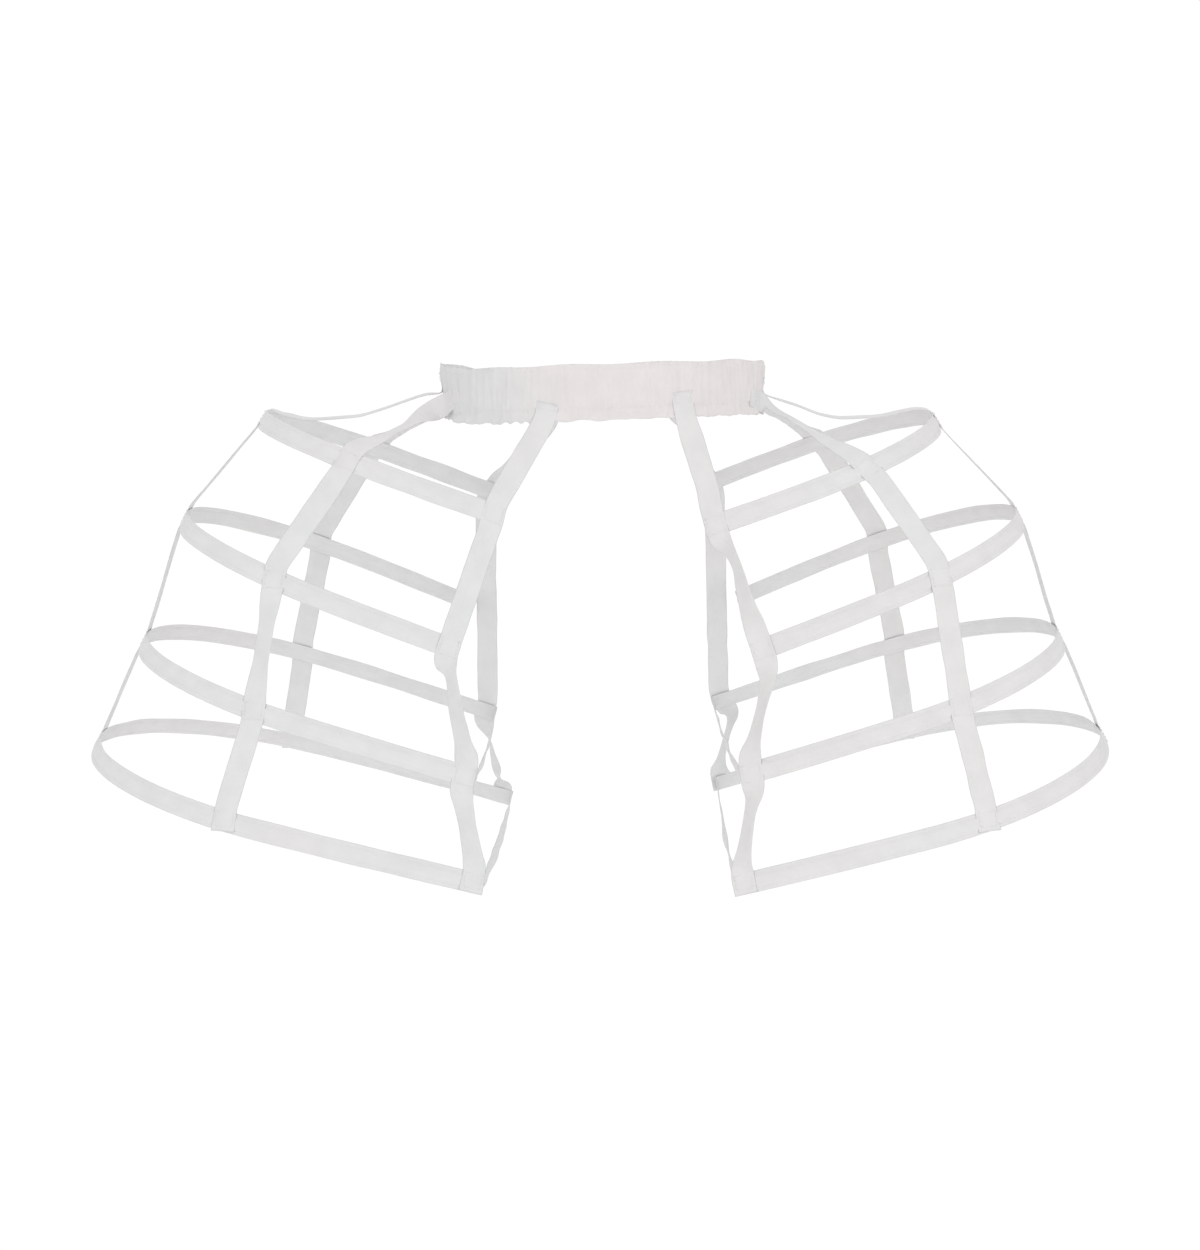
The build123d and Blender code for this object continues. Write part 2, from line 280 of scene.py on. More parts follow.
def smooth(mesh):
    """Shades all faces of a mesh smooth."""
    mesh.polygons.foreach_set("use_smooth", np.ones(len(mesh.polygons), bool))


def swept_piece(name, grid, lengthwise, crosswise, shares, closed):
    """A closed mesh over rows of section points, with a UV map in metres and shares across the cloth."""
    rows, around = grid.shape[:2]
    spans = rows if closed else rows - 1
    i, j = np.meshgrid(np.arange(spans), np.arange(around), indexing="ij")
    below, beside = (i + 1) % rows, (j + 1) % around
    quads = np.stack([i * around + j, i * around + beside, below * around + beside, below * around + j], -1)
    quads = quads.reshape(-1, 4)
    u = np.stack([lengthwise[i], lengthwise[i], lengthwise[i + 1], lengthwise[i + 1]], -1).reshape(-1)
    v = np.stack([crosswise[j], crosswise[j + 1], crosswise[j + 1], crosswise[j]], -1).reshape(-1)
    points = grid.reshape(-1, 3)
    corners = points[quads]
    volume = np.einsum("ij,ij->i", corners[:, 0], np.cross(corners[:, 1], corners[:, 2])).sum()
    volume += np.einsum("ij,ij->i", corners[:, 0], np.cross(corners[:, 2], corners[:, 3])).sum()
    faces = quads.tolist()
    if not closed:
        faces.append(list(range(around))[::-1])
        faces.append(list(range((rows - 1) * around, rows * around)))
        u = np.concatenate([u, np.full(around, lengthwise[0]), np.full(around, lengthwise[-1])])
        v = np.concatenate([v, crosswise[:around][::-1], crosswise[:around]])
    mesh = bpy.data.meshes.new(name)
    mesh.from_pydata(points.tolist(), [], faces)
    weave = mesh.uv_layers.new(name="weave")
    weave.data.foreach_set("uv", np.stack([u, v], -1).astype(np.float32).ravel())
    edge = mesh.attributes.new("across", "FLOAT", "POINT")
    edge.data.foreach_set("value", np.tile(shares, rows).astype(np.float32))
    if volume < 0:
        mesh.flip_normals()
    smooth(mesh)
    mesh.update()
    return linked(name, mesh)


# Waist ring and hoops


def waist_axes(waist):
    """The turned axes of the waist ring, as columns."""
    return np.array(Matrix.Rotation(-waist.pitch, 3, "X") @ Matrix.Rotation(-waist.roll, 3, "Y"))


def waist_ring(waist, angle, growth):
    """Points of the waist ellipse, grown outwards, at angles from the front middle, and their normals."""
    angle = np.asarray(angle, float)
    spot = np.stack([waist.width / 2 * np.sin(angle), -waist.depth / 2 * np.cos(angle)], -1)
    out = unit(np.stack([np.sin(angle) / waist.width, -np.cos(angle) / waist.depth], -1))
    return spot + out * np.asarray(growth)[..., None], out


class Hoop:
    """The plane, outline and flare of one hoop."""

    def __init__(self, shape, side, tier):
        place = tier - 1
        sign = SIDES[side]
        tilt = radians(TILTS[side][place])
        level = Matrix(((sign * cos(tilt), 0, -sign * sin(tilt)), (0, sign, 0), (sin(tilt), 0, cos(tilt))))
        pitch = Matrix.Rotation(radians(-sign * PITCHES[side][place]), 3, "X")
        yaw = Matrix.Rotation(radians(sign * YAWS[side][place]), 3, "Z")
        self.axes = np.array(level @ pitch @ yaw)
        inner = sign * shape.half_span * INNER_SHARES[side][place]
        self.origin = np.array((inner, 0, -shape.cage_drop * DROP_SHARES[side][place]))
        self.reach = shape.half_span * REACH_SHARES[side][place]
        self.depth = shape.half_depth * DEPTH_SHARES[place]
        self.radius = self.depth * ROUND_SHARE
        self.centre = self.reach - self.radius
        self.front = -sign
        self.run_growth = -tan(radians(RUN_FLARES[place]))
        self.end_growth = -tan(radians(END_FLARES[place]))
        self.half = shape.casing_width / 2 * cos(radians(RUN_FLARES[place]))

    def world(self, local):
        """Points of the hoop's own axes in the shared frame."""
        return self.origin + np.asarray(local) @ self.axes.T

    def run_width(self, along):
        """Distance of a run from the hoop's axis, and its slope."""
        fall = (self.radius - self.depth) / self.centre**2
        return self.radius - fall * (self.centre - along) ** 2, 2 * fall * (self.centre - along)

    def outline(self, step):
        """Rows of place, growth with the level and outward normal, from the front corner right round."""
        drift = self.end_growth - self.run_growth
        share = np.arange(0, 1, step / self.centre)
        width, slope = self.run_width(share * self.centre)
        normal = unit(np.stack([-slope, np.ones_like(slope)], -1))
        growth = self.front * self.run_growth * np.ones_like(share)
        front = np.stack(
            [share * self.centre, self.front * width, drift * share, growth,
             normal[:, 0], self.front * normal[:, 1]], -1
        )
        turn = np.linspace(0, pi, int(pi * self.radius / step))
        bow, fore = np.sin(turn), self.front * np.cos(turn)
        end = np.stack(
            [self.centre + self.radius * bow, self.radius * fore, drift + self.run_growth * bow,
             self.run_growth * fore, bow, fore], -1
        )
        back = front[::-1] * (1, -1, 1, -1, 1, -1)
        stretch = np.linspace(-self.front, self.front, int(2 * self.depth / step))[1:-1]
        none = np.zeros_like(stretch)
        closing = np.stack(
            [none, stretch * self.depth, none, self.run_growth * stretch, none - 1, none], -1
        )
        rows = np.vstack([front, end, back, closing])
        last = len(rows) - len(closing) - 1
        for corner in (0, last):
            both = rows[corner, 4:] + (-1, 0)
            rows[corner, 4:] = both / (1 - rows[corner, 4])
        return rows, last

    def crossing(self, tape, along):
        """Where a tape crosses the hoop: place, tangent and outward normal in the hoop's plane."""
        way = self.front if tape.startswith("front") else -self.front
        if tape == "side":
            return (self.reach, 0), (0, -self.front), (1, 0)
        if along < self.centre:
            width, slope = self.run_width(along)
            turn = -atan2(slope, 1)
        else:
            turn = asin((along - self.centre) / self.radius)
            width = self.radius * cos(turn)
        return (along, way * width), (cos(turn), -way * sin(turn)), (sin(turn), way * cos(turn))


VALLEY_SHARE = 0.25
RIM_THIN_SHARE = 0.25


def casing_profile(shape, shares, boned):
    """Half the thickness of a casing across its width: bone ridge, stitched valleys and thin edges."""
    off = np.abs(shares)
    ridge = shape.bone_ridge * (1 - ease(off, *RIDGE_SHARES)) * boned
    valley = VALLEY_SHARE * bead(off, STITCH_SHARE) * boned
    rim = np.sqrt(np.clip(1 - (np.clip(off - RIM_SHARE, 0, None) / (1 - RIM_SHARE)) ** 2, 0, 1))
    return shape.casing_edge * (1 - valley) * (RIM_THIN_SHARE + (1 - RIM_THIN_SHARE) * rim) + ridge


CASING_STEP = 0.0035
BONE_FADE = 0.002
# The straight unboned stretch on the body side bows in, sags and twists
CLOSING_BOW = 0.0022
CLOSING_SAG = 0.0025
CLOSING_TWISTS = {"left": (0.0, 0.0, 4.0, 16.0), "right": (0.0, 0.0, 4.0, 14.0)}
CASING_WAVE = 0.00028
CLOSING_WAVE = 0.00022
CASING_CURL_SHARE = 1.3
# Fewest and most waves round a hoop
CASING_SWINGS = (5, 16)
CASING_CURLS = (8, 24)


def casing_rows(shape, side, tier):
    """The grid of a casing's surface, lengths along the hoop, the boning of its rows, and its section."""
    hoop = Hoop(shape, side, tier)
    rows, last = hoop.outline(CASING_STEP)
    steps = np.linalg.norm(np.diff(rows[:, :2], axis=0, append=rows[:1, :2]), axis=1)
    lengths = np.concatenate([[0], steps.cumsum()])
    total = lengths[-1]
    along = lengths[:-1]
    start, stop = shape.bone_setback, lengths[last] - shape.bone_setback
    boned = ease(along, start - BONE_FADE, start + BONE_FADE)
    boned *= 1 - ease(along, stop - BONE_FADE, stop + BONE_FADE)
    slack = np.zeros(len(rows))
    free = np.arange(len(rows)) > last
    slack[free] = np.sin(pi * (along[free] - lengths[last]) / (total - lengths[last]))
    rows[:, 2] += tan(radians(CLOSING_TWISTS[side][tier - 1])) * slack
    seed = PIECE_SEED_STEP * tier + SIDE_SEEDS[side]
    shares, faces = section_loop(CASING_ACROSS)
    levels = shares * hoop.half
    local = np.stack(
        [rows[:, None, 0] + rows[:, None, 2] * levels, rows[:, None, 1] + rows[:, None, 3] * levels,
         np.broadcast_to(levels, (len(rows), len(levels)))], -1
    )
    local[..., 0] -= CLOSING_BOW * slack[:, None]
    local[..., 2] -= CLOSING_SAG * slack[:, None]
    wide = unit(np.concatenate([rows[:, 2:4], np.ones((len(rows), 1))], 1) @ hoop.axes.T)
    normal = np.concatenate([rows[:, 4:6], np.zeros((len(rows), 1))], 1) @ hoop.axes.T
    normal -= (normal * wide).sum(1, keepdims=True) * wide
    swing = ripple(along, total, seed, CASING_SWINGS)
    curl = ripple(along, total, seed + WAVE_SEED_STEP, CASING_CURLS)
    amount = CASING_WAVE + CLOSING_WAVE * slack
    offset = casing_profile(shape, shares, boned[:, None]) * faces
    offset = offset + amount[:, None] * (swing[:, None] + CASING_CURL_SHARE * curl[:, None] * shares**3)
    grid = hoop.world(local) + offset[..., None] * normal[:, None, :]
    return grid, lengths, boned, shares, faces


# Hanging tapes

LAST_END_SHARE = 0.94
SIDE_WIDTH = (0.0, 1.0, 0.07)


def hoop_stations(shape, side, tier, tape):
    """Places of a tape flat on a hoop's outer face, just past the casing's edges, and its width there."""
    hoop = Hoop(shape, side, tier)
    if tape.endswith("inner"):
        along = shape.tape_width * CORNER_SHARES[side][tape][tier - 1]
    elif tape == "side":
        along = hoop.reach
    else:
        along = hoop.reach * OUTER_SHARES[side][tape][tier - 1]
    upper = hoop.half + shape.sewn_margin
    lower = hoop.half * LAST_END_SHARE if tier == TIERS[-1] else upper
    drift = hoop.end_growth - hoop.run_growth if along > hoop.centre else 0
    stations = []
    for level, shift in zip((upper, -lower), ASKEW.get((side, tape, tier), (0, 0))):
        place, tangent, normal = hoop.crossing(tape, along + shift)
        out = shape.sewn_lift + hoop.run_growth * level
        point = hoop.world((place[0] + drift * level + normal[0] * out, place[1] + normal[1] * out, level))
        stations.append((point, hoop.axes @ (tangent[0], tangent[1], 0)))
    return stations


def band_stations(waist, side, tape):
    """Places of a tape on the waistband: its sewn end, where it leaves, and where it folds over."""
    sign = SIDES[side]
    back = tape.startswith("back")
    (first, high), (last, low) = BAND_RUNS[side][tape]
    points = []
    for share, stand in zip((0.0, 0.5, 1.0), SIDE_STANDS if tape == "side" else BAND_STANDS):
        turned = radians(first + (last - first) * share)
        angle = sign * (pi - turned if back else turned)
        level = high + (low - high) * share
        lean, lift, _, _ = band_lie(waist, angle, level)
        growth = band_half_thickness(waist, level) + band_spread(waist, level) + lean + stand
        spot, out = waist_ring(waist, angle, growth)
        points.append((np.array((*spot, level + lift)), np.array((*out, 0))))
    run = points[-1][0] - points[0][0]
    axes = waist_axes(waist)
    way = -sign if back else sign
    places = [(axes @ spot, axes @ unit(np.cross(out, run)) * way) for spot, out in points]
    if (side, tape) in FOLDS:
        offset, wide = (np.array(entry) * (sign, 1, 1) for entry in FOLDS[side, tape])
        places.append((places[-1][0] + offset, wide))
    return places


def turned_stations(start, end, turns):
    """Places between two hoops where a tape has turned about its own length."""
    point, wide = start
    run = Vector(end[0] - point)
    places = []
    for _, along, turn, shift in turns:
        spun = Matrix.Rotation(radians(turn), 3, run.normalized()) @ Vector(wide)
        places.append((point + np.array(run) * along + wide * shift, np.array(spun)))
    return places


def tape_stations(shape, waist, side, tape):
    """All places of a tape from the waistband down to the lowest hoop, and the sewn ones in pairs."""
    stations = band_stations(waist, side, tape)
    sewn = [(stations[0], stations[1])]
    if tape == "side":
        start, end = stations[-1][0], hoop_stations(shape, side, TIERS[0], tape)[0][0]
        for along, below in SLACK_SHARES[side]:
            dip = np.array((0, 0, shape.slack_drop * below))
            stations.append((start + (end - start) * along - dip, np.array(SIDE_WIDTH)))
    for tier in TIERS:
        if tier in FREE_CROSSINGS.get(tape, ()):
            continue
        crossing = hoop_stations(shape, side, tier, tape)
        turns = [turn for turn in TURN_SHARES[side].get(tape, ()) if turn[0] == tier - 1]
        stations += turned_stations(stations[-1], crossing[0], turns) + crossing
        sewn.append(tuple(crossing))
    return stations, sewn


TAPE_STEP = 0.002
TAPE_SMOOTHING = 8


def laid_tape(stations):
    """A tape's middle line and width directions, laid through its places with softened bends."""
    points = np.array([point for point, _ in stations])
    widths = [stations[0][1]]
    for _, wide in stations[1:]:
        widths.append(wide if np.dot(wide, widths[-1]) >= 0 else -wide)
    marks = np.concatenate([[0], np.linalg.norm(np.diff(points, axis=0), axis=1).cumsum()])
    along = np.linspace(0, marks[-1], int(marks[-1] / TAPE_STEP))

    def between(places):
        """Values at even steps between the places."""
        return np.stack([np.interp(along, marks, places[:, k]) for k in range(3)], -1)

    line, wide = between(points), between(np.array(widths))
    for _ in range(TAPE_SMOOTHING):
        for rows in (line, wide):
            rows[1:-1] = (rows[:-2] + 2 * rows[1:-1] + rows[2:]) / 4
    run = unit(np.gradient(line, axis=0))
    wide -= (wide * run).sum(1, keepdims=True) * run
    clear = np.min(np.abs(along[:, None] - marks[None]), axis=1)
    return line, unit(wide), run, along, clear


# A tape moves freely at these distances from its sewn places, and its edges bend onto the cloth at those
LOOSE_REACH = (0.006, 0.025)
HUG_REACH = (0.006, 0.013)
SEWN_HUG = 0.0006
SIDE_CALM_SHARE = 0.3
TAPE_SWING = 0.0007
TAPE_CURL = 0.0006
SELVEDGE_THIN_SHARE = 0.55
SELVEDGE_BEAD_SHARE = 0.12
WIDTH_WAVER_SHARE = 0.02
TAPE_SEED = 200
# Fewest and most waves down a tape
TAPE_SWINGS = (3, 9)
TAPE_CURLS = (3, 11)
WIDTH_WAVERS = (6, 20)


def tape_piece(shape, side, tape, stations, sewn):
    """One hanging tape as a thin closed strip with a slight life of its own between the hoops."""
    line, wide, run, along, clear = laid_tape(stations)
    shares, faces = section_loop(TAPE_ACROSS)
    off = np.abs(shares)
    normal = unit(np.cross(run, wide))
    seed = TAPE_SEED + PIECE_SEED_STEP * TAPES.index(tape) + SIDE_SEEDS[side]
    loose = ease(clear, *LOOSE_REACH) * (SIDE_CALM_SHARE if tape == "side" else 1.0)
    swing = TAPE_SWING * loose * ripple(along, along[-1], seed, TAPE_SWINGS)
    curl = TAPE_CURL * loose * ripple(along, along[-1], seed + WAVE_SEED_STEP, TAPE_CURLS)
    rim = 1 - SELVEDGE_THIN_SHARE * ease(off, RIM_SHARE, 1.0) + SELVEDGE_BEAD_SHARE * bead(off, RIM_SHARE)
    offset = shape.tape_gauge / 2 * rim * faces + swing[:, None] + curl[:, None] * shares * off
    middles = np.array([(upper + lower) / 2 for (upper, _), (lower, _) in sewn])
    near = 1 - ease(np.linalg.norm(line[:, None] - middles, axis=-1).min(1), *HUG_REACH)
    way = np.sign((normal * line * (1, 1, 0)).sum(1))
    offset = offset - (way * near)[:, None] * SEWN_HUG * shares**2
    waver = ripple(along, along[-1], seed + 2 * WAVE_SEED_STEP, WIDTH_WAVERS)
    narrow = 1 - WIDTH_WAVER_SHARE * waver
    half = shape.tape_width / 2 * narrow[:, None] * shares
    grid = line[:, None] + half[..., None] * wide[:, None] + offset[..., None] * normal[:, None]
    crosswise = np.concatenate([shares, shares[:1]]) * shape.tape_width / 2
    return swept_piece(f"{side}_{tape}_cotton_tape", grid, along, crosswise, shares, False), along[-1]


# Node trees


def add_sockets(tree, way, kind, *labels):
    """Names the inputs or outputs of a node tree."""
    for label in labels:
        tree.interface.new_socket(label, in_out=way, socket_type=f"NodeSocket{kind}")


def wire(tree, sockets, values):
    """Links sockets to the outputs of other nodes, or sets their values."""
    for key, value in values.items():
        if isinstance(value, bpy.types.NodeSocket):
            tree.links.new(value, sockets[key])
        else:
            sockets[key].default_value = value


class NodeMaker:
    """Short calls that add a node to a tree, set and wire it, and give one of its outputs."""

    def __init__(self, tree):
        self.tree = tree

    def add(self, kind, inputs=None, output=0, **settings):
        """Any node with its settings, and its inputs set or wired."""
        node = self.tree.nodes.new(kind)
        for name, value in settings.items():
            setattr(node, name, value)
        wire(self.tree, node.inputs, inputs or {})
        return node.outputs[output]

    def math(self, operation, *values):
        """A sum of numbers."""
        return self.add("ShaderNodeMath", dict(enumerate(values)), operation=operation)

    def noise(self, vector, scale, detail, seed=0.0):
        """A cloudy noise over a place."""
        inputs = {"Vector": vector, "Scale": scale, "Detail": detail, "W": seed}
        return self.add("ShaderNodeTexNoise", inputs, noise_dimensions="4D")

    def spread(self, *values):
        """A value carried smoothly from one range to another."""
        return self.add("ShaderNodeMapRange", dict(enumerate(values)), interpolation_type="SMOOTHSTEP")

    def axes(self, vector):
        """The three numbers of a vector."""
        return self.add("ShaderNodeSeparateXYZ", {"Vector": vector}).node.outputs

    def blend(self, share, first, second):
        """Two colours mixed by a share."""
        return self.add("ShaderNodeMix", {0: share, 6: first, 7: second}, 2, data_type="RGBA")

    def scaled(self, vector, factor):
        """A vector or colour times a number."""
        inputs = {"Vector": vector, "Scale": factor}
        return self.add("ShaderNodeVectorMath", inputs, operation="SCALE")

    def attribute(self, name, kind):
        """A value that the mesh holds at each point."""
        inputs = {"Name": name}
        return self.add("GeometryNodeInputNamedAttribute", inputs, "Attribute", data_type=kind)


def finished_tree(make, geometry, material, label):
    """Ends a geometry tree: its instances made real, its material set and its output wired."""
    plain = make.add("GeometryNodeRealizeInstances", {"Geometry": geometry})
    dyed = make.add("GeometryNodeSetMaterial", {"Geometry": plain, "Material": material})
    wire(make.tree, make.tree.nodes.new("NodeGroupOutput").inputs, {label: dyed})
    return make.tree


def set_inputs(modifier, tree, values):
    """Sets a modifier's inputs through the identifiers of their sockets."""
    for socket in tree.interface.items_tree:
        if socket.item_type == "SOCKET" and socket.in_out == "INPUT" and socket.name in values:
            modifier[socket.identifier] = values[socket.name]


def shaped_by(piece, tree, values):
    """Runs a geometry tree on a piece and keeps the result as its own plain mesh."""
    modifier = piece.modifiers.new(tree.name, "NODES")
    modifier.node_group = tree
    set_inputs(modifier, tree, values)
    bpy.context.view_layer.update()
    evaluated = piece.evaluated_get(bpy.context.evaluated_depsgraph_get())
    mesh = bpy.data.meshes.new_from_object(evaluated)
    mesh.name = piece.name
    piece.modifiers.clear()
    piece.data = mesh
    smooth(mesh)
    return piece


# Thread

STITCH_BALL = {"Segments": 5, "Rings": 4, "Radius": 1.0}


def stitch_tree():
    """Geometry nodes that lay one stitch after another along rows of points."""
    tree = bpy.data.node_groups.new("Thread stitches", "GeometryNodeTree")
    add_sockets(tree, "INPUT", "Geometry", "Rows")
    add_sockets(tree, "INPUT", "Float", "Pitch", "Length", "Radius")
    add_sockets(tree, "INPUT", "Material", "Thread")
    add_sockets(tree, "OUTPUT", "Geometry", "Stitches")
    source = tree.nodes.new("NodeGroupInput").outputs
    make = NodeMaker(tree)
    curve = make.add("GeometryNodeMeshToCurve", {"Mesh": source["Rows"]})
    spacing = {"Curve": curve, "Length": source["Pitch"]}
    places = make.add("GeometryNodeResampleCurve", spacing, mode="LENGTH")
    tangent = {"Vector": make.add("GeometryNodeInputTangent")}
    turn = make.add("FunctionNodeAlignRotationToVector", tangent, axis="X")
    lift = {"Rotation": turn, "Vector": make.attribute("lift", "FLOAT_VECTOR")}
    turn = make.add("FunctionNodeAlignRotationToVector", lift, axis="Z", pivot_axis="X")
    stitch = make.add("GeometryNodeMeshUVSphere", STITCH_BALL)
    size = {"X": make.math("MULTIPLY", source["Length"], 0.5), "Y": source["Radius"], "Z": source["Radius"]}
    size = make.add("ShaderNodeCombineXYZ", size)
    stitches = {"Points": places, "Instance": stitch, "Rotation": turn, "Scale": size}
    stitches = make.add("GeometryNodeInstanceOnPoints", stitches)
    return finished_tree(make, stitches, source["Thread"], "Stitches")


def stitched_piece(name, rows):
    """A piece of thread from rows of points and the directions that the stitches lie up against."""
    points, edges, lifts = [], [], []
    for line, normal in rows:
        edges += [(len(points) + k, len(points) + k + 1) for k in range(len(line) - 1)]
        points += [tuple(point) for point in line]
        lifts += [tuple(direction) for direction in np.broadcast_to(normal, np.shape(line))]
    mesh = bpy.data.meshes.new(name)
    mesh.from_pydata(points, edges, [])
    up = mesh.attributes.new("lift", "FLOAT_VECTOR", "POINT")
    up.data.foreach_set("vector", np.array(lifts, np.float32).ravel())
    tree = bpy.data.node_groups.get("Thread stitches") or stitch_tree()
    thread = bpy.context.scene.cage_thread
    values = {"Pitch": thread.pitch, "Length": thread.length, "Radius": thread.radius}
    return shaped_by(linked(name, mesh), tree, values | {"Thread": finish_named("Thread")})


def casing_thread(grid, boned, shares, faces):
    """Rows of stitches along both sides of a casing's bone channel, on both faces, and across its ends."""
    sewn = np.flatnonzero(boned > 0.5)
    first, last = sewn[0], sewn[-1]
    rows = []
    for place in (-STITCH_SHARE, STITCH_SHARE):
        near = np.isclose(shares, place)
        outer, inner = np.flatnonzero(near & (faces > 0))[0], np.flatnonzero(near & (faces < 0))[0]
        up = unit(grid[first:last + 1, outer] - grid[first:last + 1, inner])
        rows.append((grid[first:last + 1, outer], up))
        rows.append((grid[first:last + 1, inner], -up))
    channel = np.abs(shares) <= STITCH_SHARE
    over, under = np.flatnonzero(channel & (faces > 0)), np.flatnonzero(channel & (faces < 0))
    for end in (first - 1, last + 1):
        up = unit(grid[end, over].mean(0) - grid[end, under].mean(0))
        rows.append((grid[end, over], up))
        rows.append((grid[end, under], -up))
    return rows


SQUARE_WIDTH_SHARE = 0.37
SQUARE_LENGTH_SHARE = 0.62
STITCH_LIFT_SHARE = 0.52
SQUARE_CORNERS = ((-1, -1), (-1, 1), (1, 1), (1, -1), (-1, -1))


def sewn_square(shape, pair):
    """The square of stitches that holds a tape on the cloth below it."""
    (upper, wide), (lower, _) = pair
    run = lower - upper
    wide = unit(wide - run * np.dot(wide, run) / np.dot(run, run))
    normal = unit(np.cross(run, wide))
    middle = (upper + lower) / 2
    if np.dot(normal, middle * (1, 1, 0)) < 0:
        normal = -normal
    side = wide * shape.tape_width * SQUARE_WIDTH_SHARE
    drop = run / 2 * SQUARE_LENGTH_SHARE
    face = normal * shape.tape_gauge * STITCH_LIFT_SHARE
    return np.array([middle + face + drop * a + side * b for a, b in SQUARE_CORNERS]), normal


# Waistband

# Noise of the gathers: how far it is drawn out along the band's height, and its step of the seed
PUCKER_NOISE = (0.10, 0.0)
FRILL_NOISE = (0.25, 7.3)
NOISE_DETAIL = 1.5
CREASE_STEEPNESS = 2.6
CREASE_POWER = 0.65
PUCKER_MIDDLE = 0.7
FRILL_GAIN = 3.2


def gather_tree():
    """Geometry nodes that pucker a cloth casing along its elastic and swing the edge of its frill."""
    tree = bpy.data.node_groups.new("Gathers", "GeometryNodeTree")
    add_sockets(tree, "INPUT", "Geometry", "Band")
    add_sockets(tree, "INPUT", "Float", "Pitch", "Depth", "Frill", "Seed")
    add_sockets(tree, "INPUT", "Material", "Cloth")
    add_sockets(tree, "OUTPUT", "Geometry", "Gathered")
    source = tree.nodes.new("NodeGroupInput").outputs
    make = NodeMaker(tree)
    per_pitch = make.math("DIVIDE", 1.0, source["Pitch"])
    place = make.axes(make.add("GeometryNodeInputPosition"))

    def waves(stretch, seed_step):
        """Noise that runs up the band in long waves."""
        factors = {"X": per_pitch, "Y": per_pitch, "Z": make.math("MULTIPLY", per_pitch, stretch)}
        scale = {axis: make.math("MULTIPLY", place[axis], factor) for axis, factor in factors.items()}
        seed = make.math("ADD", source["Seed"], seed_step)
        return make.noise(make.add("ShaderNodeCombineXYZ", scale), 1.0, NOISE_DETAIL, seed)

    crease = make.math("SUBTRACT", make.math("MULTIPLY", waves(*PUCKER_NOISE), 2.0), 1.0)
    crease = make.math("MULTIPLY", make.math("ABSOLUTE", crease), CREASE_STEEPNESS)
    puff = make.math("POWER", make.math("MINIMUM", crease, 1.0), CREASE_POWER)
    frill = make.attribute("frill", "FLOAT")
    pucker = make.math("MULTIPLY", make.math("SUBTRACT", puff, PUCKER_MIDDLE), source["Depth"])
    pucker = make.math("MULTIPLY", pucker, make.math("SUBTRACT", 1.0, frill))
    swing = make.math("MULTIPLY", make.math("SUBTRACT", waves(*FRILL_NOISE), 0.5), FRILL_GAIN)
    swing = make.math("MULTIPLY", make.math("MULTIPLY", swing, source["Frill"]), frill)
    swell = make.scaled(make.attribute("swell", "FLOAT_VECTOR"), pucker)
    sway = make.scaled(make.attribute("outward", "FLOAT_VECTOR"), swing)
    offset = make.add("ShaderNodeVectorMath", {0: swell, 1: sway}, operation="ADD")
    moved = make.add("GeometryNodeSetPosition", {"Geometry": source["Band"], "Offset": offset})
    return finished_tree(make, moved, source["Cloth"], "Gathered")


BAND_STEPS = 760
SEAM_LEVEL = -0.0126
BAND_LEVELS = (
    -0.0215, -0.0211, -0.0203, -0.019, -0.0175, -0.016, -0.0146, -0.0134, SEAM_LEVEL, -0.0116, -0.0102,
    -0.008, -0.005, -0.001, 0.003, 0.007, 0.011, 0.0145, 0.017, 0.0188, 0.0199, 0.0207, 0.021,
)
# Half thicknesses of the cloth and of the elastic's channel, and how far the channel and the edges fade
CLOTH_HALF = 0.0005
CHANNEL_HALF = 0.0011
CHANNEL_FADE = 0.004
CHANNEL_TOP_GAP = 0.0015
EDGE_FADE = 0.0012
EDGE_THIN_SHARE = 0.4
FRILL_SPREAD = 0.0008
# The band's left end is lifted, its right end dropped, and both lean, over angles in degrees
LEFT_LIFT = 0.0062
RIGHT_DROP = 0.0035
END_LEAN = 0.004
LEFT_END = (48, 88, 100, 140)
RIGHT_END = (70, 95, 105, 140)
BOTH_ENDS = (62, 84, 96, 125)
TURN_SHARE = 0.62
TUCK_LEAN_SHARE = 0.4
TUCK_LIFT_SHARE = 0.9
# The lower edge is more ragged along the left of the front
RAGGED_ARC = (15, 30, 75, 95)
RAGGED = 0.00022
MORE_RAGGED = 0.00045
TOP_WAVE = 0.0007
FRILL_WAVE = 0.0005
# Seed, and fewest and most waves round the band
TOP_WAVES = (41, (4, 15))
FRILL_WAVES = (42, (14, 48))
RAGGED_WAVES = (43, (50, 120))
# The frill begins to swing this far above the seam
FRILL_START = 0.001
# The frill is held under a sewn tape, over this angle in degrees
HELD_SHARE = 0.9
HELD_ARC = 5


def band_half_thickness(waist, level):
    """Half the thickness of the band at its levels: the elastic's channel, the seam and the frill."""
    channel = ease(level, -waist.seam, -waist.seam + CHANNEL_FADE)
    channel = channel * (1 - ease(level, waist.top - CHANNEL_FADE, waist.top - CHANNEL_TOP_GAP))
    edge = EDGE_THIN_SHARE + (1 - EDGE_THIN_SHARE) * ease(waist.bottom + level, 0, EDGE_FADE)
    edge *= EDGE_THIN_SHARE + (1 - EDGE_THIN_SHARE) * ease(waist.top - level, 0, EDGE_FADE)
    return CLOTH_HALF * edge + CHANNEL_HALF * channel


def band_spread(waist, level):
    """How far the frill stands out from the seam."""
    return FRILL_SPREAD * ease(-level, waist.seam, waist.bottom)


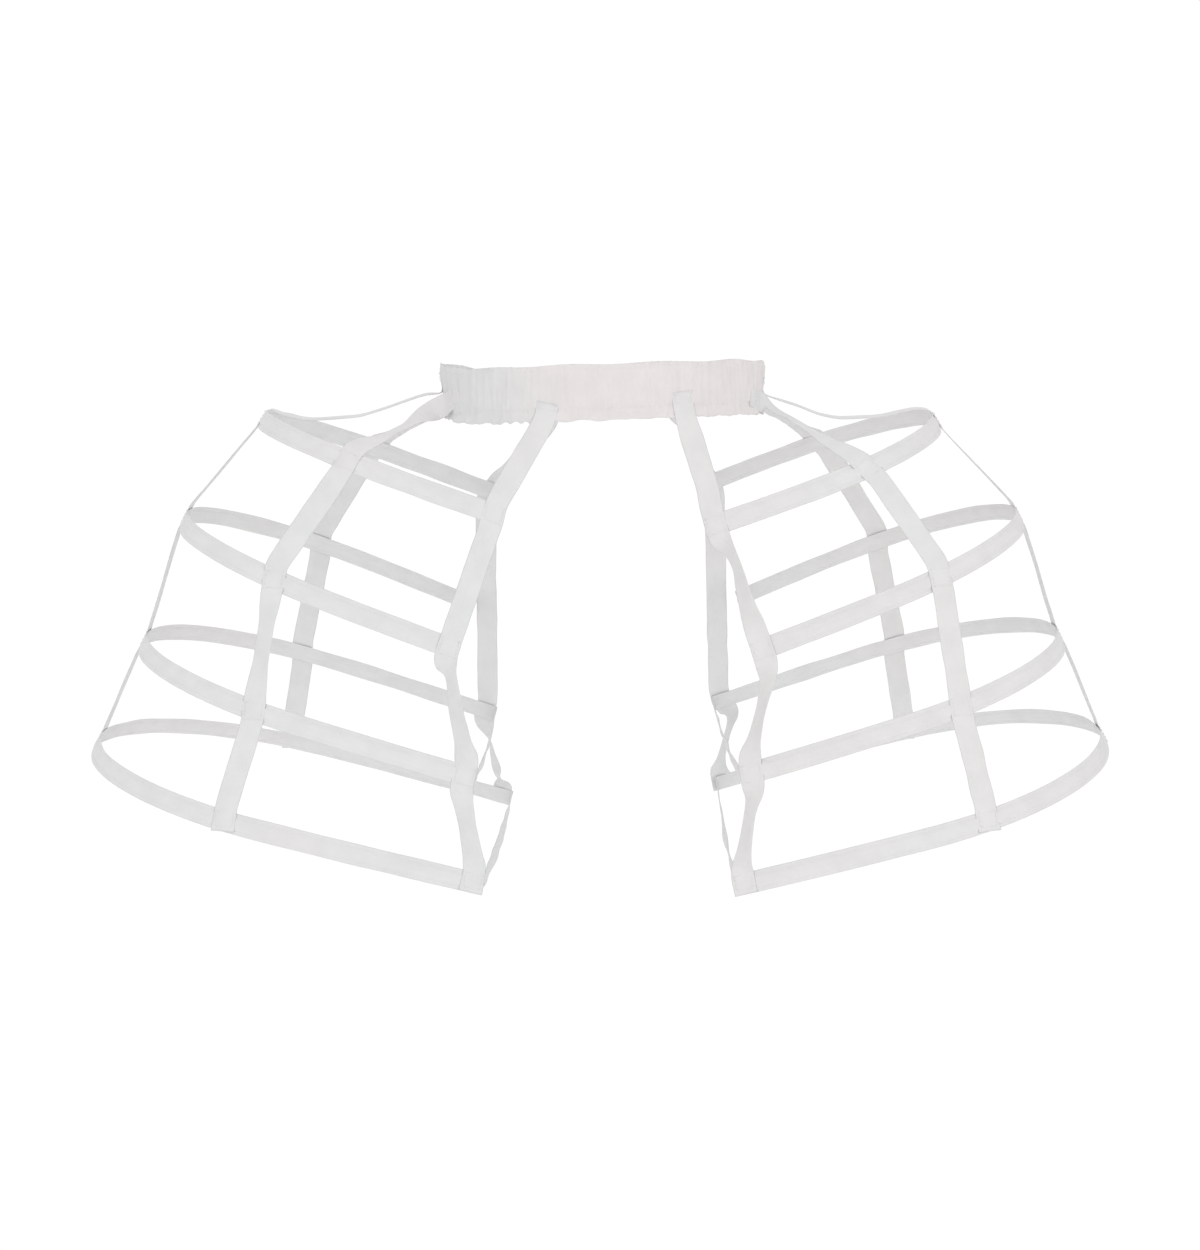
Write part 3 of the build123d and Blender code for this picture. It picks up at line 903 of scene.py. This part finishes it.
def band_lie(waist, turned, level):
    """How far the band leans and rises at its ends, and shares of the way up and down from the seam."""
    rise = np.clip((level + waist.seam) / (waist.top + waist.seam), 0, None)
    tuck = np.clip((-level - waist.seam) / (waist.bottom - waist.seam), 0, None)
    ends = rise_and_fall(np.abs(turned), BOTH_ENDS)
    left, right = rise_and_fall(-turned, LEFT_END), rise_and_fall(turned, RIGHT_END)
    lean = -END_LEAN * ends * (TURN_SHARE - rise - TUCK_LEAN_SHARE * tuck)
    lift = LEFT_LIFT * left * (rise + TUCK_LIFT_SHARE * tuck) - RIGHT_DROP * right * rise
    return lean, lift, rise, tuck


def frill_freedom(turned):
    """Where the frill swings freely: not under the tapes that are sewn over it."""
    free = np.ones_like(turned)
    for side, runs in BAND_RUNS.items():
        for tape, (_, (angle, _)) in runs.items():
            if tape not in ("side", "front_outer"):
                place = SIDES[side] * radians(180 - angle if tape.startswith("back") else angle)
                free *= 1 - HELD_SHARE * np.exp(-(((turned - place) / radians(HELD_ARC)) ** 2))
    return free


def waistband_grid(waist):
    """The ring of section points of the waistband, before its cloth is gathered."""
    levels = np.array(BAND_LEVELS)
    loop = np.concatenate([levels, levels[-2:0:-1]])
    faces = np.concatenate([np.ones(len(levels)), -np.ones(len(levels) - 2)])
    angle = np.linspace(0, 2 * pi, BAND_STEPS, endpoint=False)
    turned = (angle + pi) % (2 * pi) - pi
    lean, lift, rise, tuck = band_lie(waist, turned[:, None], loop)
    growth = band_half_thickness(waist, loop) * faces + band_spread(waist, loop) + lean
    spot, out = waist_ring(waist, angle[:, None] + 0 * loop, growth)
    ragged = RAGGED + MORE_RAGGED * rise_and_fall(-turned, RAGGED_ARC)
    height = loop + lift
    edges = ((TOP_WAVE, TOP_WAVES, rise), (FRILL_WAVE, FRILL_WAVES, tuck), (ragged, RAGGED_WAVES, tuck))
    for amount, waves, share in edges:
        height = height + (amount * ripple(angle, 2 * pi, *waves))[:, None] * share
    axes = waist_axes(waist)
    grid = np.stack([spot[..., 0], spot[..., 1], height], -1) @ axes.T
    outward = np.concatenate([out, np.zeros(out.shape[:2] + (1,))], -1) @ axes.T
    frill = ease(-loop, waist.seam - FRILL_START, waist.bottom) * frill_freedom(turned)[:, None]
    return grid, outward, faces, frill, loop


# Materials

# Weave of a cotton: chevron of its twill, painted shade of its edges, seed, drift of its tint, and warmth
GATHERED_WEAVE = {"Chevron": 0.0, "Edge shade": 0.0, "Seed": 5.0, "Drift": -4.0, "Warmth": 0.35}
TAPE_WEAVE = {"Chevron": 1.0, "Edge shade": 0.025, "Seed": 2.0, "Drift": 0.0, "Warmth": 0.0}
RIB_HEIGHT = 0.32
PICK_HEIGHT = 0.14
FIBRE_HEIGHT = 0.35
MIDDLE_HEIGHT = 0.5
# Painted shade: the weave's colour darkens in its hollows and lightens on its ribs by this much
WEAVE_SHADE = 0.02
# Values between which the painted edge shade, a tint and a noise change, and the shades and roughnesses
# they give
# Painted shade: the colour darkens over these shares of half the width towards a strip's edges
PAINTED_EDGE_SHADE = (0.84, 1.0)
TINT_CHANGE = (0.38, 0.62)
NOISE_CHANGE = (0.3, 0.7)
CLOUD_SHADES = (0.97, 1.015)
FIBRE_ROUGHNESS = (0.82, 0.95)
# Noises of the cloth: how many to the metre and their detail
FIBRES = (1500.0, 2.0)
BLOTCHES = (5.0, 1.0)
CLOUDS = (60.0, 3.0)


def cotton_group():
    """The shared look of woven cotton: twill ribs, loose fibres, two tints, and painted shade along the
    edges and in the weave's hollows.
    """
    group = bpy.data.node_groups.new("Woven cotton", "ShaderNodeTree")
    add_sockets(group, "INPUT", "Vector", "Weave", "Place")
    add_sockets(group, "INPUT", "Float", "Across", "Repeat", *TAPE_WEAVE)
    add_sockets(group, "INPUT", "Color", "Warm", "Cool")
    add_sockets(group, "OUTPUT", "Color", "Color")
    add_sockets(group, "OUTPUT", "Float", "Height", "Roughness")
    source = group.nodes.new("NodeGroupInput").outputs
    make = NodeMaker(group)
    place = source["Place"]
    thread = make.axes(source["Weave"])
    per_repeat = make.math("DIVIDE", 2 * pi, source["Repeat"])
    folded = make.math("MULTIPLY", make.math("ABSOLUTE", thread["Y"]), source["Chevron"])
    rib = make.math("SINE", make.math("MULTIPLY", make.math("ADD", thread["X"], folded), per_repeat))
    across = make.math("SUBTRACT", thread["Y"], thread["X"])
    pick = make.math("SINE", make.math("MULTIPLY", across, per_repeat))
    ribs, picks = make.math("MULTIPLY", rib, RIB_HEIGHT), make.math("MULTIPLY", pick, PICK_HEIGHT)
    weave = make.math("ADD", ribs, picks)
    fibre = make.noise(place, *FIBRES)
    blotch = make.noise(place, *BLOTCHES, source["Seed"])
    blotch = make.math("ADD", blotch, make.math("MULTIPLY", make.axes(place)["X"], source["Drift"]))
    blotch = make.math("SUBTRACT", blotch, source["Warmth"])
    # Painted shade: the colour darkens towards the strip's edges
    edge = make.spread(make.math("ABSOLUTE", source["Across"]), *PAINTED_EDGE_SHADE, 0.0, source["Edge shade"])
    tint = make.blend(make.spread(blotch, *TINT_CHANGE, 0.0, 1.0), source["Warm"], source["Cool"])
    cloud = make.spread(make.noise(place, *CLOUDS), *NOISE_CHANGE, *CLOUD_SHADES)
    shade = make.math("SUBTRACT", cloud, edge)
    # Painted shade in the weave's hollows, lighter on its ribs
    shade = make.math("ADD", shade, make.math("MULTIPLY", weave, WEAVE_SHADE))
    fuzz = make.math("MULTIPLY", fibre, FIBRE_HEIGHT)
    wire(group, group.nodes.new("NodeGroupOutput").inputs, {
        "Color": make.scaled(tint, shade),
        "Height": make.math("ADD", make.math("ADD", weave, MIDDLE_HEIGHT), fuzz),
        "Roughness": make.spread(fibre, *NOISE_CHANGE, *FIBRE_ROUGHNESS),
    })
    return group


def new_material(name):
    """A material with its node tree."""
    material = bpy.data.materials.new(name)
    material.use_nodes = True
    return material, material.node_tree


COTTON_BUMP = {"Strength": 0.35, "Distance": 0.0003}
COTTON_GLOSS = {"Specular IOR Level": 0.2, "Sheen Weight": 0.08, "Sheen Roughness": 0.6}


def cotton_material(name, warm, cool, repeat, values):
    """A cotton finish: the woven group wired to a plain cloth shader."""
    material, tree = new_material(name)
    make = NodeMaker(tree)
    cloth = tree.nodes.new("ShaderNodeGroup")
    cloth.node_tree = bpy.data.node_groups.get("Woven cotton") or cotton_group()
    wire(tree, cloth.inputs, values | {
        "Weave": make.add("ShaderNodeUVMap", output="UV", uv_map="weave"),
        "Place": make.add("ShaderNodeTexCoord", output="Object"),
        "Across": make.add("ShaderNodeAttribute", output="Fac", attribute_name="across"),
        "Repeat": repeat, "Warm": (*warm, 1), "Cool": (*cool, 1),
    })
    wire(tree, tree.nodes["Principled BSDF"].inputs, COTTON_GLOSS | {
        "Base Color": cloth.outputs["Color"],
        "Roughness": cloth.outputs["Roughness"],
        "Normal": make.add("ShaderNodeBump", COTTON_BUMP | {"Height": cloth.outputs["Height"]}),
    })
    return material


MOTTLE_BUMP = {"Strength": 0.2, "Distance": 0.0002}
MOTTLE_DETAIL = 3.0
MOTTLE_SWING = 0.08


def plain_material(name, colour, roughness, scale, contrast):
    """A finish with a fine mottle: thread, boning and elastic."""
    material, tree = new_material(name)
    make = NodeMaker(tree)
    mottle = make.noise(make.add("ShaderNodeTexCoord", output="Object"), scale, MOTTLE_DETAIL)
    dark = tuple(channel * (1 - contrast) for channel in colour)
    wire(tree, tree.nodes["Principled BSDF"].inputs, {
        "Base Color": make.blend(mottle, (*dark, 1), (*colour, 1)),
        "Roughness": make.spread(mottle, *NOISE_CHANGE, roughness - MOTTLE_SWING, roughness + MOTTLE_SWING),
        "Normal": make.add("ShaderNodeBump", MOTTLE_BUMP | {"Height": mottle}),
    })
    return material


# Roughness, grains to the metre and contrast of the plain finishes, and the colours of the hidden ones
PLAIN_LOOKS = {"Thread": (0.7, 2500.0, 0.08), "Boning": (0.45, 600.0, 0.05), "Elastic": (0.8, 900.0, 0.15)}
HIDDEN_COLOURS = {"Boning": (0.83, 0.83, 0.8), "Elastic": (0.8, 0.79, 0.77)}


def finish_named(name):
    """One of the cage's finishes, made at its first use."""
    if name in bpy.data.materials:
        return bpy.data.materials[name]
    look = bpy.context.scene.cage_cotton
    if name == "Gathered cotton":
        return cotton_material(name, look.band, look.band_cool, look.band_weave, GATHERED_WEAVE)
    if name in ("Casing cotton", "Tape cotton"):
        return cotton_material(name, look.warm, look.cool, look.tape_weave, TAPE_WEAVE)
    colour = HIDDEN_COLOURS.get(name, look.thread)
    return plain_material(name, colour, *PLAIN_LOOKS[name])


# Operators


def declare_cloth(cloth, thread, node):
    """Puts a piece of cloth and its thread on the cage, in the place of its solid, and hides the solid."""
    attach(cloth, "root")
    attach(thread, "root")
    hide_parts(node)


GATHER_SEED = 3.0


class CAGE_OT_waistband(bpy.types.Operator):
    """Builds the gathered waistband and its seam"""

    bl_idname = "cage.waistband"
    bl_label = "Waistband"

    def execute(self, context):
        waist = context.scene.cage_waist
        grid, outward, faces, frill, loop = waistband_grid(waist)
        steps = np.linalg.norm(np.diff(grid[:, 0], axis=0, append=grid[:1, 0]), axis=1)
        lengthwise = np.concatenate([[0], steps.cumsum()])
        crosswise = np.concatenate([loop, loop[:1]])
        band = swept_piece("gathered_waistband", grid, lengthwise, crosswise, 0 * loop, True)
        guides = {"frill": frill, "outward": outward, "swell": outward * faces[None, :, None]}
        for name, value in guides.items():
            vector = value.ndim == 3
            layer = band.data.attributes.new(name, "FLOAT_VECTOR" if vector else "FLOAT", "POINT")
            layer.data.foreach_set("vector" if vector else "value", value.astype(np.float32).ravel())
        shaped_by(band, gather_tree(), {
            "Pitch": waist.crease_pitch, "Depth": waist.crease_depth, "Frill": waist.frill_depth,
            "Seed": GATHER_SEED, "Cloth": finish_named("Gathered cotton"),
        })
        seam = BAND_LEVELS.index(SEAM_LEVEL)
        points = np.zeros(len(band.data.vertices) * 3, np.float32)
        band.data.vertices.foreach_get("co", points)
        points = points.reshape(grid.shape)
        rows = []
        for side, place in ((1, seam), (-1, len(loop) - seam)):
            line, up = (np.concatenate([ring[:, place], ring[:1, place]]) for ring in (points, outward))
            rows.append((line, up * side))
        thread = stitched_piece("waistband_seam_thread", rows)
        for name in guides:
            band.data.attributes.remove(band.data.attributes[name])
        declare_cloth(band, thread, "waistband")
        return {"FINISHED"}


class CAGE_OT_hoop_casings(bpy.types.Operator):
    """Builds the boned hoop casings and the thread of their channels"""

    bl_idname = "cage.hoop_casings"
    bl_label = "Hoop casings"

    def execute(self, context):
        shape = context.scene.cage_shape
        for name, side, tier in ((f"{side}_hoop_{tier}", side, tier) for side in SIDES for tier in TIERS):
            grid, lengths, boned, shares, faces = casing_rows(shape, side, tier)
            crosswise = np.concatenate([shares, shares[:1]]) * shape.casing_width / 2
            casing = swept_piece(f"{name}_cotton", grid, lengths, crosswise, shares, True)
            casing.data.materials.append(finish_named("Casing cotton"))
            thread = stitched_piece(f"{name}_thread", casing_thread(grid, boned, shares, faces))
            declare_cloth(casing, thread, f"{name}_casing")
        return {"FINISHED"}


class CAGE_OT_hanging_tapes(bpy.types.Operator):
    """Builds the hanging tapes and the stitched squares that hold them"""

    bl_idname = "cage.hanging_tapes"
    bl_label = "Hanging tapes"

    def execute(self, context):
        shape, waist = context.scene.cage_shape, context.scene.cage_waist
        for side, tape in ((side, tape) for side in SIDES for tape in TAPES):
            stations, sewn = tape_stations(shape, waist, side, tape)
            strip, length = tape_piece(shape, side, tape, stations, sewn)
            strip.data.materials.append(finish_named("Tape cotton"))
            thread = stitched_piece(f"{side}_{tape}_thread", [sewn_square(shape, pair) for pair in sewn])
            declare_cloth(strip, thread, f"{side}_{tape}_tape")
        return {"FINISHED"}


class CAGE_OT_stiffeners(bpy.types.Operator):
    """Gives the boning and the elastic inside the cloth their finishes"""

    bl_idname = "cage.stiffeners"
    bl_label = "Boning and elastic"

    def execute(self, context):
        for name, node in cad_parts.items():
            if name.endswith("_bone") or name == "waist_elastic":
                node.data.materials.clear()
                node.data.materials.append(finish_named("Boning" if name.endswith("_bone") else "Elastic"))
        return {"FINISHED"}


# Studio: the floor curves up into a backdrop; sizes in metres
FLOOR_LEVEL = -1.0
FLOOR_HALF_WIDTH = 7.0
FLOOR_FRONT = -6.0
FLOOR_BACK = 1.5
BACKDROP_ROUND = 1.2
BACKDROP_TOP = 5.0
BACKDROP_STEPS = 14
BACKDROP_FIRST_TURN = 0.1
FLOOR_PAINT = 0.94
FLOOR_GLOW = 1.03
GLOW_SHARE = 0.9
SKY_STRENGTH = 1.04
SKY_SIDE_LOSS = 0.24
# Lights: place, aim, size and power
LIGHTS = {
    "key_light": ((-1.4, -2.4, 1.5), (0, 0, -0.2), 2.0, 1.0),
    "fill_light": ((1.8, -2.0, 0.8), (0, 0, -0.2), 2.0, 0.8),
    "low_light": ((0.3, -2.3, -0.75), (0, 0.1, -0.2), 1.6, 6.0),
}
CAMERA_PLACE = (-0.0024, -1.9, 0.09)
CAMERA_TARGET = (-0.0024, 0, -0.1872)
CAMERA_LENS = 68.57
CAMERA_SENSOR = 36.0
CAMERA_FAR = 50


def seen_rays(make):
    """Rays that show the background itself: from the camera, by gloss and through glass."""
    ray = make.tree.nodes.new("ShaderNodeLightPath").outputs
    seen = make.math("MAXIMUM", ray["Is Camera Ray"], ray["Is Glossy Ray"])
    return make.math("MAXIMUM", seen, ray["Is Transmission Ray"])


def backdrop_material():
    """A white floor and backdrop that stay white to the eye and keep a faint shadow."""
    material, tree = new_material("White studio")
    make = NodeMaker(tree)
    tree.nodes.remove(tree.nodes["Principled BSDF"])
    paint = make.add("ShaderNodeBsdfDiffuse", {"Color": (FLOOR_PAINT, FLOOR_PAINT, FLOOR_PAINT, 1)})
    glow = make.add("ShaderNodeEmission", {"Color": (1, 1, 1, 1), "Strength": FLOOR_GLOW})
    share = make.math("MULTIPLY", seen_rays(make), GLOW_SHARE)
    surface = make.add("ShaderNodeMixShader", {0: share, 1: paint, 2: glow})
    wire(tree, tree.nodes["Material Output"].inputs, {"Surface": surface})
    return material


def studio_floor():
    """A wide floor that curves up into a backdrop."""
    profile = [(FLOOR_FRONT, 0.0), (FLOOR_BACK, 0.0)]
    for turn in np.linspace(BACKDROP_FIRST_TURN, pi / 2, BACKDROP_STEPS):
        rise = BACKDROP_ROUND - BACKDROP_ROUND * cos(turn)
        profile.append((FLOOR_BACK + BACKDROP_ROUND * sin(turn), rise))
    profile.append((FLOOR_BACK + BACKDROP_ROUND, BACKDROP_TOP))
    points = [(x, y, FLOOR_LEVEL + z) for x in (-FLOOR_HALF_WIDTH, FLOOR_HALF_WIDTH) for y, z in profile]
    count = len(profile)
    mesh = bpy.data.meshes.new("studio_floor")
    mesh.from_pydata(points, [], [(k, count + k, count + k + 1, k + 1) for k in range(count - 1)])
    smooth(mesh)
    mesh.materials.append(backdrop_material())
    linked("studio_floor", mesh)


def aimed(name, data, place, aim):
    """A light or camera that stands in a place and points at another."""
    thing = linked(name, data)
    thing.location = place
    thing.rotation_euler = (Vector(aim) - Vector(place)).to_track_quat("-Z", "Y").to_euler()
    return thing


class CAGE_OT_stage(bpy.types.Operator):
    """Sets the floor, the soft studio light and the camera"""

    bl_idname = "cage.stage"
    bl_label = "Stage"

    def execute(self, context):
        scene = context.scene
        studio_floor()
        scene.world = bpy.data.worlds.new("Studio")
        scene.world.use_nodes = True
        tree = scene.world.node_tree
        make = NodeMaker(tree)
        way = make.axes(make.add("ShaderNodeTexCoord", output="Generated"))
        sideways = make.math("POWER", make.math("ABSOLUTE", way["X"]), 2.0)
        light = make.math("SUBTRACT", SKY_STRENGTH, make.math("MULTIPLY", sideways, SKY_SIDE_LOSS))
        strength = make.spread(seen_rays(make), 0.0, 1.0, light, 1.0)
        wire(tree, tree.nodes["Background"].inputs, {"Color": (1, 1, 1, 1), "Strength": strength})
        for name, (place, aim, size, power) in LIGHTS.items():
            lamp = bpy.data.lights.new(name, "AREA")
            lamp.size = size
            lamp.energy = power
            aimed(name, lamp, place, aim)
        camera = bpy.data.cameras.new("photo_camera")
        camera.sensor_width = CAMERA_SENSOR
        camera.lens = CAMERA_LENS
        camera.clip_end = CAMERA_FAR
        scene.camera = aimed("photo_camera", camera, CAMERA_PLACE, CAMERA_TARGET)
        scene.view_settings.view_transform = "Standard"
        return {"FINISHED"}


class CAGE_PT_sidebar(bpy.types.Panel):
    """Lists the cage's parts and sizes"""

    bl_idname = "CAGE_PT_sidebar"
    bl_label = "Crinoline cage"
    bl_space_type = "VIEW_3D"
    bl_region_type = "UI"
    bl_category = "Cage"

    def draw(self, context):
        for operator in OPERATORS:
            self.layout.operator(operator.bl_idname)
        for name in GROUPS:
            group = getattr(context.scene, name)
            for key in group.bl_rna.properties.keys()[2:]:
                self.layout.prop(group, key)


GROUPS = {
    "cage_shape": CageShape,
    "cage_waist": WaistShape,
    "cage_thread": ThreadShape,
    "cage_cotton": CottonLook,
}
OPERATORS = (
    CAGE_OT_waistband, CAGE_OT_hoop_casings, CAGE_OT_hanging_tapes, CAGE_OT_stiffeners, CAGE_OT_stage,
)


def register():
    for name, group in GROUPS.items():
        bpy.utils.register_class(group)
        setattr(bpy.types.Scene, name, PointerProperty(type=group))
    for operator in OPERATORS:
        bpy.utils.register_class(operator)
    bpy.utils.register_class(CAGE_PT_sidebar)


def unregister():
    bpy.utils.unregister_class(CAGE_PT_sidebar)
    for operator in reversed(OPERATORS):
        bpy.utils.unregister_class(operator)
    for name, group in GROUPS.items():
        delattr(bpy.types.Scene, name)
        bpy.utils.unregister_class(group)


def main():
    register()
    bpy.ops.cage.waistband()
    bpy.ops.cage.hoop_casings()
    bpy.ops.cage.hanging_tapes()
    bpy.ops.cage.stiffeners()
    bpy.ops.cage.stage()


if __name__ == "__main__":
    main()
